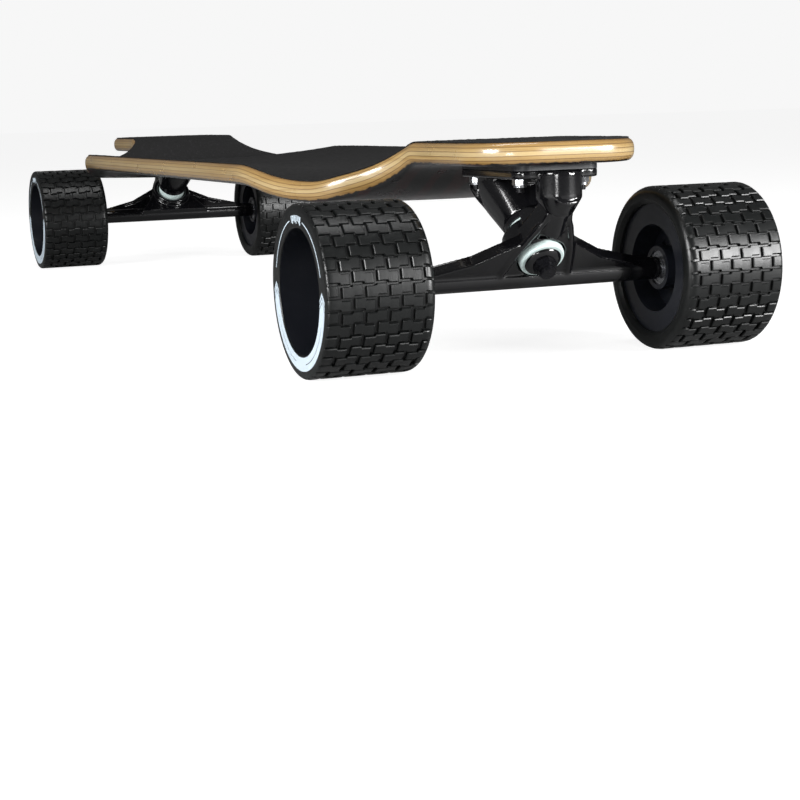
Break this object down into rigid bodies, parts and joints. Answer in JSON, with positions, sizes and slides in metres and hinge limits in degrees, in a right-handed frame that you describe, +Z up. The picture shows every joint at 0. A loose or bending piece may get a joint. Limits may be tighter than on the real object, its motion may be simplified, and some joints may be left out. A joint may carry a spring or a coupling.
{
  "type": "drop deck longboard",
  "caption": "Long drop-deck riding board with a concave wooden deck, two sprung steering trucks and tall block-tread wheels that spin on bearings.",
  "frame": {"origin": "on the floor midway between the two axles, at the bottom centre of the board", "axes": "+X towards the nose, +Y to the left side when looking towards the nose, +Z up"},
  "size_m": [1.032, 0.304, 0.138],
  "materials": {
    "deck_wood": "gloss",
    "grip": "matte",
    "riser": "satin",
    "truck_black": "gloss",
    "black_steel": "satin",
    "zinc_steel": "satin",
    "bearing_steel": "satin",
    "cup_plastic": "satin",
    "bushing": "satin",
    "tyre": "satin",
    "core_plastic": "satin"
  },
  "bodies": {
    "board": {"deck": "deck_wood", "grip_tape": "grip", "front_riser_pad": "riser", "front_baseplate": "truck_black", "front_truck_bolts": "black_steel", "front_lock_nuts": "zinc_steel", "front_pivot_cup": "cup_plastic", "front_kingpin": "black_steel", "front_kingpin_nut": "black_steel", "front_boardside_bushing": "bushing", "front_roadside_bushing": "bushing", "front_boardside_washer": "black_steel", "front_roadside_washer": "black_steel", "rear_riser_pad": "riser", "rear_baseplate": "truck_black", "rear_truck_bolts": "black_steel", "rear_lock_nuts": "zinc_steel", "rear_pivot_cup": "cup_plastic", "rear_kingpin": "black_steel", "rear_kingpin_nut": "black_steel", "rear_boardside_bushing": "bushing", "rear_roadside_bushing": "bushing", "rear_boardside_washer": "black_steel", "rear_roadside_washer": "black_steel"},
    "front_hanger": {"front_hanger": "truck_black", "front_axle": "zinc_steel", "front_left_bearing_inner_races": "bearing_steel", "front_left_bearing_spacer": "zinc_steel", "front_left_speed_washers": "zinc_steel", "front_left_axle_nut": "black_steel", "front_right_bearing_inner_races": "bearing_steel", "front_right_bearing_spacer": "zinc_steel", "front_right_speed_washers": "zinc_steel", "front_right_axle_nut": "black_steel"},
    "front_left_wheel": {"front_left_tyre": "tyre", "front_left_core": "core_plastic", "front_left_bearing_outer_races": "bearing_steel", "front_left_bearing_balls": "bearing_steel"},
    "front_right_wheel": {"front_right_tyre": "tyre", "front_right_core": "core_plastic", "front_right_bearing_outer_races": "bearing_steel", "front_right_bearing_balls": "bearing_steel"},
    "rear_hanger": {"rear_hanger": "truck_black", "rear_axle": "zinc_steel", "rear_left_bearing_inner_races": "bearing_steel", "rear_left_bearing_spacer": "zinc_steel", "rear_left_speed_washers": "zinc_steel", "rear_left_axle_nut": "black_steel", "rear_right_bearing_inner_races": "bearing_steel", "rear_right_bearing_spacer": "zinc_steel", "rear_right_speed_washers": "zinc_steel", "rear_right_axle_nut": "black_steel"},
    "rear_left_wheel": {"rear_left_tyre": "tyre", "rear_left_core": "core_plastic", "rear_left_bearing_outer_races": "bearing_steel", "rear_left_bearing_balls": "bearing_steel"},
    "rear_right_wheel": {"rear_right_tyre": "tyre", "rear_right_core": "core_plastic", "rear_right_bearing_outer_races": "bearing_steel", "rear_right_bearing_balls": "bearing_steel"}
  },
  "joints": [
    {"name": "front_steer", "type": "hinge", "parent": "board", "child": "front_hanger", "pos_m": [0.47, 0, 0.0685], "axis": [0.7071, 0, 0.7071], "range_deg": [-15, 15], "stiffness_Nm_per_rad": 60, "deforming": ["front_boardside_bushing", "front_roadside_bushing"]},
    {"name": "front_left_wheel_spin", "type": "hinge", "parent": "front_hanger", "child": "front_left_wheel", "pos_m": [0.456, 0.118, 0.0525], "axis": [0, 1, 0], "continuous": true},
    {"name": "front_right_wheel_spin", "type": "hinge", "parent": "front_hanger", "child": "front_right_wheel", "pos_m": [0.456, -0.118, 0.0525], "axis": [0, 1, 0], "continuous": true},
    {"name": "rear_steer", "type": "hinge", "parent": "board", "child": "rear_hanger", "pos_m": [-0.47, 0, 0.0685], "axis": [-0.7071, 0, 0.7071], "range_deg": [-15, 15], "stiffness_Nm_per_rad": 60, "deforming": ["rear_boardside_bushing", "rear_roadside_bushing"]},
    {"name": "rear_left_wheel_spin", "type": "hinge", "parent": "rear_hanger", "child": "rear_left_wheel", "pos_m": [-0.456, 0.118, 0.0525], "axis": [0, 1, 0], "continuous": true},
    {"name": "rear_right_wheel_spin", "type": "hinge", "parent": "rear_hanger", "child": "rear_right_wheel", "pos_m": [-0.456, -0.118, 0.0525], "axis": [0, 1, 0], "continuous": true}
  ]
}
